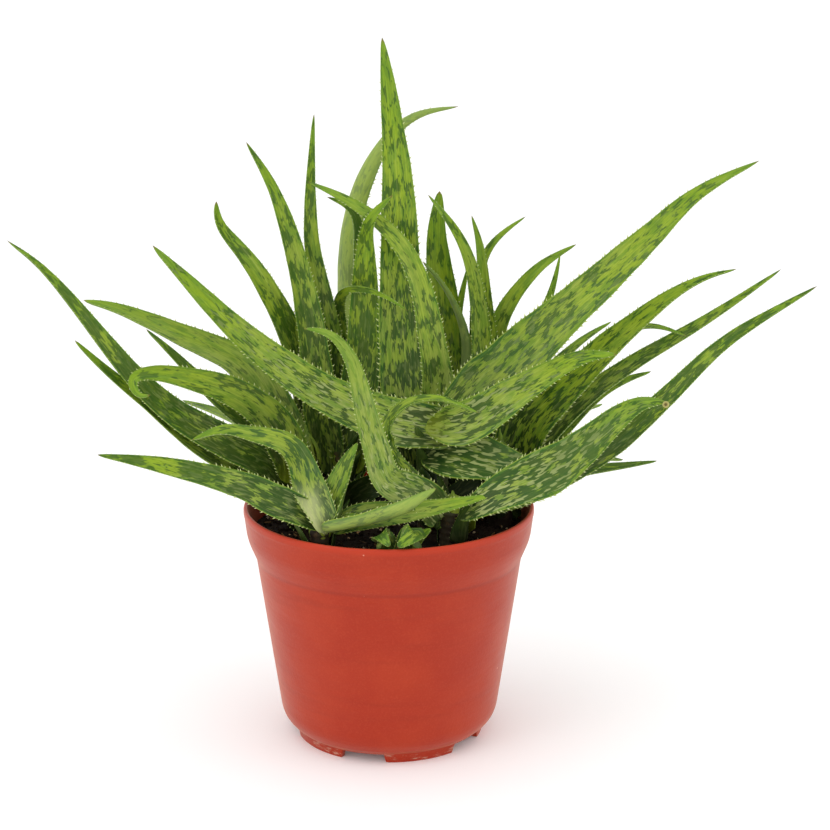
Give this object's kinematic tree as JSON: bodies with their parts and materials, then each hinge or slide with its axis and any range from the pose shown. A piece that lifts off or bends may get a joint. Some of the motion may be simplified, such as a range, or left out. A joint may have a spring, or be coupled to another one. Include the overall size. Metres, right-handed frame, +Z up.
{
  "type": "potted succulent",
  "caption": "Clump of a small mottled aloe with narrow toothed leaves that arch in all directions, in a terracotta-coloured plastic nursery pot with soil.",
  "frame": {"origin": "centre of the pot's base, on the surface that the pot stands on", "axes": "+Z up; -Y is the front, where the tiny offset stands at the rim; +X is to the right seen from the front"},
  "size_m": [0.3218, 0.154, 0.2871],
  "materials": {
    "pot": "satin",
    "soil": "matte",
    "stem": "satin",
    "leaf": "satin"
  },
  "bodies": {
    "root": {"pot": "pot", "soil": "soil", "stem_front": "stem", "stem_front_left": "stem", "stem_left": "stem", "stem_main": "stem", "stem_rear_left": "stem", "stem_rear_right": "stem", "stem_right": "stem", "leaf_front_arch": "leaf", "leaf_front_broad": "leaf", "leaf_front_curled": "leaf", "leaf_front_left_arch": "leaf", "leaf_front_left_long": "leaf", "leaf_front_left_spout": "leaf", "leaf_front_left_strap": "leaf", "leaf_front_left_upright": "leaf", "leaf_front_long": "leaf", "leaf_left_back": "leaf", "leaf_left_dark": "leaf", "leaf_left_hooked": "leaf", "leaf_left_long": "leaf", "leaf_left_pale": "leaf", "leaf_left_under": "leaf", "leaf_main_back_left": "leaf", "leaf_main_front_right": "leaf", "leaf_main_left": "leaf", "leaf_main_right": "leaf", "leaf_main_right_low": "leaf", "leaf_main_tall": "leaf", "leaf_rear_left_arch": "leaf", "leaf_rear_left_back": "leaf", "leaf_rear_left_bowed": "leaf", "leaf_rear_left_dark": "leaf", "leaf_rear_left_hooked": "leaf", "leaf_rear_left_long": "leaf", "leaf_rear_left_low": "leaf", "leaf_rear_left_slim": "leaf", "leaf_rear_left_wide": "leaf", "leaf_rear_right_back": "leaf", "leaf_rear_right_bent": "leaf", "leaf_rear_right_bowed": "leaf", "leaf_rear_right_folded": "leaf", "leaf_rear_right_hidden": "leaf", "leaf_rear_right_long": "leaf", "leaf_rear_right_low": "leaf", "leaf_rear_right_stiff": "leaf", "leaf_rear_right_upright": "leaf", "leaf_rear_right_wide": "leaf", "leaf_right_back": "leaf", "leaf_right_dark": "leaf", "leaf_right_hooked": "leaf", "leaf_right_long": "leaf", "leaf_right_short": "leaf", "leaf_right_small": "leaf", "leaf_right_wedge": "leaf", "leaf_right_wide": "leaf", "offset_tiny": "leaf"}
  },
  "joints": []
}
